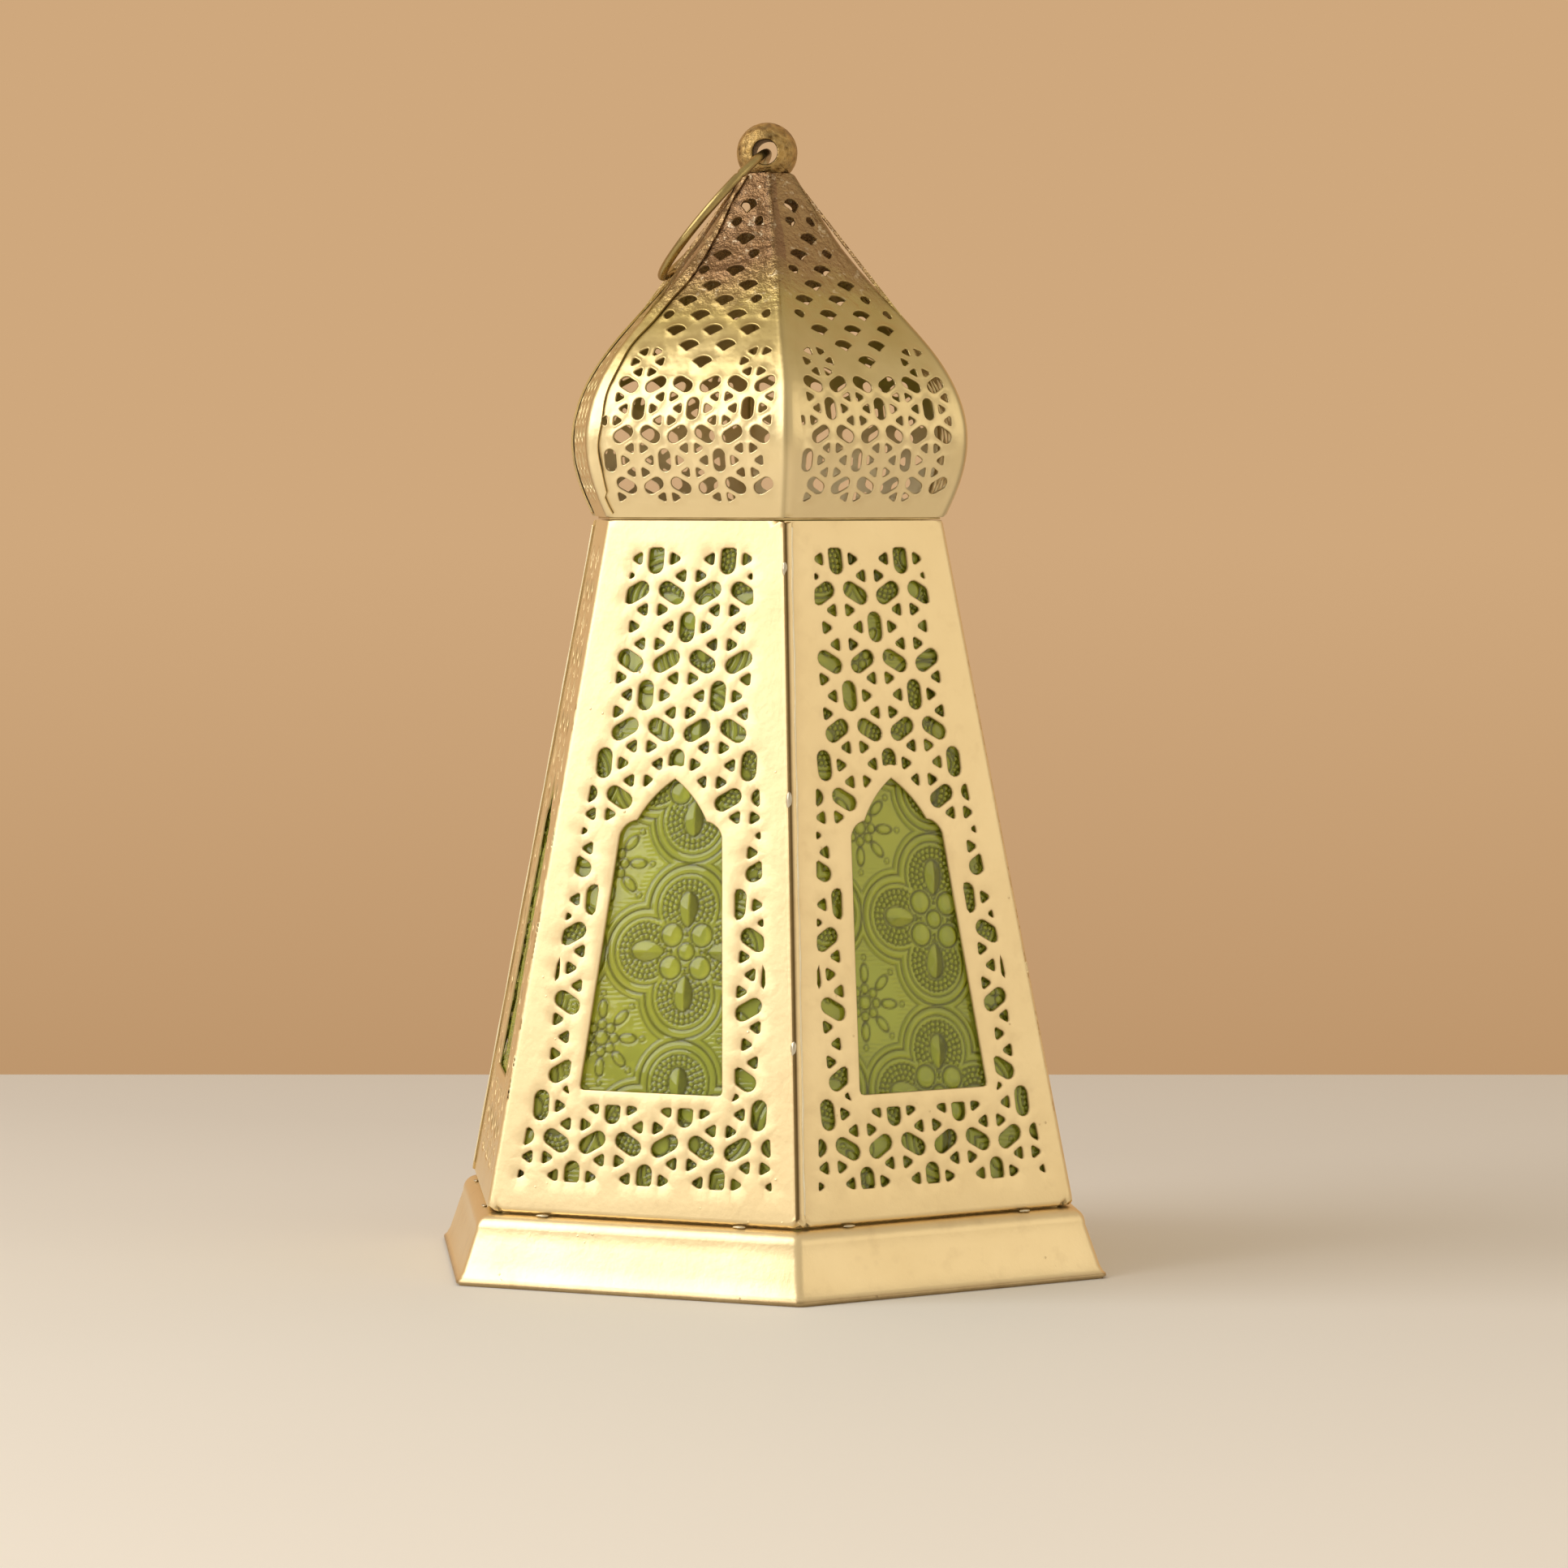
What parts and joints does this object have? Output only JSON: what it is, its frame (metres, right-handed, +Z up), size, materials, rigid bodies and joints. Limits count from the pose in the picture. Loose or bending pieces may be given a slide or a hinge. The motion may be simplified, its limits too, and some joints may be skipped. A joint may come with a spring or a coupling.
{
  "type": "candle lantern",
  "caption": "Six-sided pierced sheet-brass candle lantern with embossed green glass, an onion dome, a ball finial with a hanging ring, and a hinged door over a candle cup.",
  "frame": {"origin": "centre of the base's footprint, on the surface the lantern stands on", "axes": "+Z up through the finial; -Y out of the front face; the door is on the +Y face"},
  "size_m": [0.1812, 0.157, 0.28],
  "materials": {
    "satin_brass": "satin lacquered sheet",
    "antique_brass": "rough antique gold",
    "brass_wire": "dull drawn wire",
    "solder": "lacquered solder",
    "steel_fixings": "plain",
    "green_glass": "embossed green pressed glass"
  },
  "bodies": {
    "lantern": {"base_skirt": "satin_brass", "base_plate": "satin_brass", "candle_cup": "satin_brass", "cup_rivet": "steel_fixings", "catch_rivet": "steel_fixings", "catch_spring": "steel_fixings", "body_sheet_left": "satin_brass", "body_sheet_right": "satin_brass", "body_sheet_rear": "satin_brass", "glass_front": "green_glass", "glass_front_right": "green_glass", "glass_rear_right": "green_glass", "glass_rear_left": "green_glass", "glass_front_left": "green_glass", "glass_clips": "satin_brass", "neck_ring": "satin_brass", "dome_petal_front": "satin_brass", "dome_petal_front_right": "satin_brass", "dome_petal_rear_right": "satin_brass", "dome_petal_rear": "satin_brass", "dome_petal_rear_left": "satin_brass", "dome_petal_front_left": "satin_brass", "finial_ball": "antique_brass", "finial_washer": "steel_fixings", "finial_screw": "steel_fixings", "frame_knuckles": "satin_brass", "hinge_pins": "steel_fixings", "seam_solder": "solder", "foot_solder": "solder", "dome_solder": "solder"},
    "door": {"door_panel": "satin_brass", "door_glass": "green_glass", "door_glass_clips": "satin_brass", "door_knuckles": "satin_brass", "door_knob": "satin_brass"},
    "ring": {"hanging_ring": "brass_wire"}
  },
  "joints": [
    {"name": "door_hinge", "type": "hinge", "parent": "lantern", "child": "door", "pos_m": [0.04186, 0.0725, 0.01756], "axis": [0.1032, 0.1788, -0.9785], "range_deg": [0, 120]},
    {"name": "ring_swing", "type": "hinge", "parent": "lantern", "child": "ring", "pos_m": [0, 0, 0.2725], "axis": [-0.342, 0.9397, 0], "range_deg": [0, 278.8]}
  ]
}
